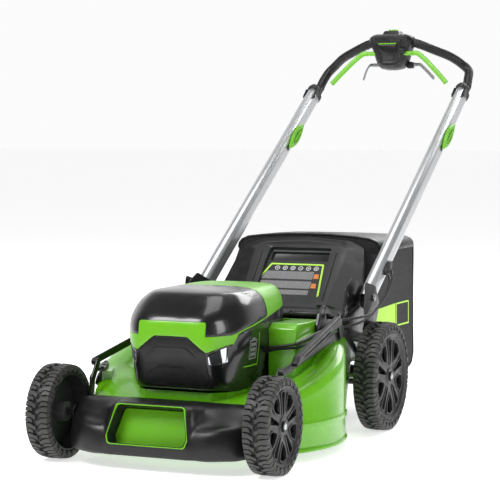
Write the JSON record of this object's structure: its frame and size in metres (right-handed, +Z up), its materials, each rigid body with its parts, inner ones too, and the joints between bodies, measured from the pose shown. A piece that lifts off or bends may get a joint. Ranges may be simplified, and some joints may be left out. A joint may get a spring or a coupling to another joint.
{
  "type": "push lawn mower",
  "caption": "Battery walk-behind lawn mower with a steel deck, height lever, rear grass bag, side chute and folding telescopic handle.",
  "frame": {"origin": "centre of the bounding box on the ground", "axes": "+X towards the operator's left, +Y backwards from the front bumper to the handle, +Z up"},
  "size_m": [0.576, 1.6038, 0.984],
  "materials": {
    "green_paint": "glossy bright green paint over pressed steel",
    "green_plastic": "semi-gloss green moulded plastic",
    "black_plastic": "satin black moulded plastic with a fine texture",
    "gloss_black": "glossy black moulded plastic",
    "rim_plastic": "satin charcoal plastic",
    "tyre": "matt black rubber with a block tread",
    "aluminium": "satin anodised aluminium",
    "black_steel": "satin black powder coat on steel",
    "steel": "zinc-plated steel",
    "lens": "clear lamp lens",
    "bag_fabric": "dark grey woven polyester mesh",
    "grey_plastic": "satin grey plastic",
    "cable": "black cable sheath"
  },
  "bodies": {
    "chassis": {"deck_shell": "green_paint", "front_bumper": "black_plastic", "bumper_grip_insert": "green_plastic", "hood_shell": "gloss_black", "hood_band": "green_plastic", "hood_grille": "black_plastic", "headlight_left": "lens", "headlight_right": "lens", "battery_bay": "black_plastic", "blade_motor": "black_steel", "rear_chute": "black_plastic", "door_hinge_rod": "steel", "handle_bracket_left": "black_steel", "handle_bracket_right": "black_steel", "height_quadrant": "black_steel", "power_cable": "cable", "drive_cable": "cable"},
    "battery_lid": {"battery_lid": "gloss_black"},
    "battery_pack": {"battery_pack": "black_plastic"},
    "safety_key": {"safety_key": "green_plastic"},
    "blade": {"cutting_blade": "steel", "motor_shaft": "steel", "blade_bolt": "steel"},
    "front_cranks": {"front_crank_left": "black_steel", "front_crank_right": "black_steel", "front_nut_left": "steel", "front_nut_right": "steel"},
    "rear_axle": {"rear_axle": "black_steel", "rear_nut_left": "steel", "rear_nut_right": "steel", "drive_gearbox": "black_plastic"},
    "height_links": {"height_link_left": "black_steel", "height_link_right": "black_steel"},
    "height_lever": {"height_lever": "black_plastic"},
    "front_wheel_left": {"front_tyre_left": "tyre", "front_rim_left": "rim_plastic"},
    "front_wheel_right": {"front_tyre_right": "tyre", "front_rim_right": "rim_plastic"},
    "rear_wheel_left": {"rear_tyre_left": "tyre", "rear_rim_left": "rim_plastic"},
    "rear_wheel_right": {"rear_tyre_right": "tyre", "rear_rim_right": "rim_plastic"},
    "drive_shaft": {"drive_shaft": "steel"},
    "rear_door": {"rear_door": "black_plastic"},
    "side_door": {"side_discharge_door": "black_plastic"},
    "bag": {"grass_bag": "bag_fabric", "bag_cover": "black_plastic"},
    "lower_handle": {"lower_tube_left": "aluminium", "lower_tube_right": "aluminium", "collar_left": "black_plastic", "collar_right": "black_plastic", "cable_grommet": "black_plastic"},
    "cam_left": {"cam_lever_left": "green_plastic"},
    "cam_right": {"cam_lever_right": "green_plastic"},
    "upper_handle": {"handlebar": "black_steel", "control_box": "black_plastic"},
    "bail": {"bail_lever": "green_plastic"},
    "drive_control": {"drive_lever": "grey_plastic"},
    "start_button": {"start_button": "green_plastic"},
    "speed_slider": {"speed_slider": "black_plastic"}
  },
  "joints": [
    {"name": "battery_lid_hinge", "type": "hinge", "parent": "chassis", "child": "battery_lid", "pos_m": [0, -0.6603, 0.301], "axis": [1, 0, 0], "range_deg": [0, 65]},
    {"name": "battery_pack_release", "type": "slide", "parent": "chassis", "child": "battery_pack", "axis": [0, 0, 1], "range_m": [0, 0.008]},
    {"name": "safety_key_slide", "type": "slide", "parent": "chassis", "child": "safety_key", "axis": [0, 0, 1], "range_m": [0, 0.01]},
    {"name": "blade_spin", "type": "hinge", "parent": "chassis", "child": "blade", "pos_m": [0, -0.4143, 0.07], "axis": [0, 0, 1], "continuous": true},
    {"name": "rear_axle_height", "type": "hinge", "parent": "chassis", "child": "rear_axle", "pos_m": [0, -0.0158, 0.102], "axis": [1, 0, 0], "range_deg": [0, 45]},
    {"name": "front_crank_height", "type": "hinge", "parent": "chassis", "child": "front_cranks", "pos_m": [0, -0.6403, 0.0766], "axis": [1, 0, 0], "range_deg": [0, 45]},
    {"name": "height_lever_swing", "type": "hinge", "parent": "chassis", "child": "height_lever", "pos_m": [0.22, -0.2875, 0.2846], "axis": [-1, 0, 0], "range_deg": [0, 45]},
    {"name": "height_link_swing", "type": "hinge", "parent": "front_cranks", "child": "height_links", "pos_m": [0, -0.6231, 0.1182], "axis": [1, 0, 0], "range_deg": [-45, 0]},
    {"name": "front_wheel_left_spin", "type": "hinge", "parent": "front_cranks", "child": "front_wheel_left", "pos_m": [0.25, -0.7003, 0.1016], "axis": [1, 0, 0], "continuous": true},
    {"name": "front_wheel_right_spin", "type": "hinge", "parent": "front_cranks", "child": "front_wheel_right", "pos_m": [-0.25, -0.7003, 0.1016], "axis": [1, 0, 0], "continuous": true},
    {"name": "rear_wheel_left_spin", "type": "hinge", "parent": "rear_axle", "child": "rear_wheel_left", "pos_m": [0.26, -0.0758, 0.127], "axis": [1, 0, 0], "continuous": true},
    {"name": "rear_wheel_right_spin", "type": "hinge", "parent": "rear_axle", "child": "rear_wheel_right", "pos_m": [-0.26, -0.0758, 0.127], "axis": [1, 0, 0], "continuous": true},
    {"name": "drive_shaft_spin", "type": "hinge", "parent": "rear_axle", "child": "drive_shaft", "pos_m": [0, -0.0758, 0.123], "axis": [1, 0, 0], "continuous": true},
    {"name": "rear_door_hinge", "type": "hinge", "parent": "chassis", "child": "rear_door", "pos_m": [0, -0.0503, 0.262], "axis": [1, 0, 0], "range_deg": [0, 75]},
    {"name": "side_door_hinge", "type": "hinge", "parent": "chassis", "child": "side_door", "pos_m": [-0.2357, -0.5192, 0.178], "axis": [-0.4067, 0.9136, 0], "range_deg": [0, 55], "stiffness_Nm_per_rad": 0.4, "springref_deg": -22.92},
    {"name": "bag_removal", "type": "slide", "parent": "chassis", "child": "bag", "axis": [0, 0.94, 0.3412], "range_m": [0, 0.25]},
    {"name": "handle_fold", "type": "hinge", "parent": "chassis", "child": "lower_handle", "pos_m": [0, -0.0563, 0.308], "axis": [1, 0, 0], "range_deg": [0, 130]},
    {"name": "handle_length", "type": "slide", "parent": "lower_handle", "child": "upper_handle", "axis": [0, 0.8348, 0.5505], "range_m": [0, 0.1]},
    {"name": "cam_left_swing", "type": "hinge", "parent": "lower_handle", "child": "cam_left", "pos_m": [0.2364, 0.56566, 0.71811], "axis": [0, -0.5505, 0.8348], "range_deg": [0, 100]},
    {"name": "cam_right_swing", "type": "hinge", "parent": "lower_handle", "child": "cam_right", "pos_m": [-0.1968, 0.56566, 0.71811], "axis": [0, -0.5505, 0.8348], "range_deg": [0, 100]},
    {"name": "bail_pull", "type": "hinge", "parent": "upper_handle", "child": "bail", "pos_m": [0, 0.7237, 0.916], "axis": [1, 0, 0], "range_deg": [0, 35], "stiffness_Nm_per_rad": 0.6, "springref_deg": -34.38},
    {"name": "drive_lever_pull", "type": "hinge", "parent": "upper_handle", "child": "drive_control", "pos_m": [0, 0.7657, 0.886], "axis": [1, 0, 0], "range_deg": [0, 25], "stiffness_Nm_per_rad": 0.3, "springref_deg": -28.65},
    {"name": "start_button_press", "type": "slide", "parent": "upper_handle", "child": "start_button", "axis": [0, 0, -1], "range_m": [0, 0.004], "stiffness_N_per_m": 150, "springref_m": -0.002},
    {"name": "speed_slider_travel", "type": "slide", "parent": "upper_handle", "child": "speed_slider", "axis": [0, 0, 1], "range_m": [0, 0.02]}
  ],
  "couplings": [
    {"joint": "front_crank_height", "follows": "rear_axle_height", "ratio": 1},
    {"joint": "height_lever_swing", "follows": "rear_axle_height", "ratio": 1},
    {"joint": "height_link_swing", "follows": "rear_axle_height", "ratio": -1}
  ]
}
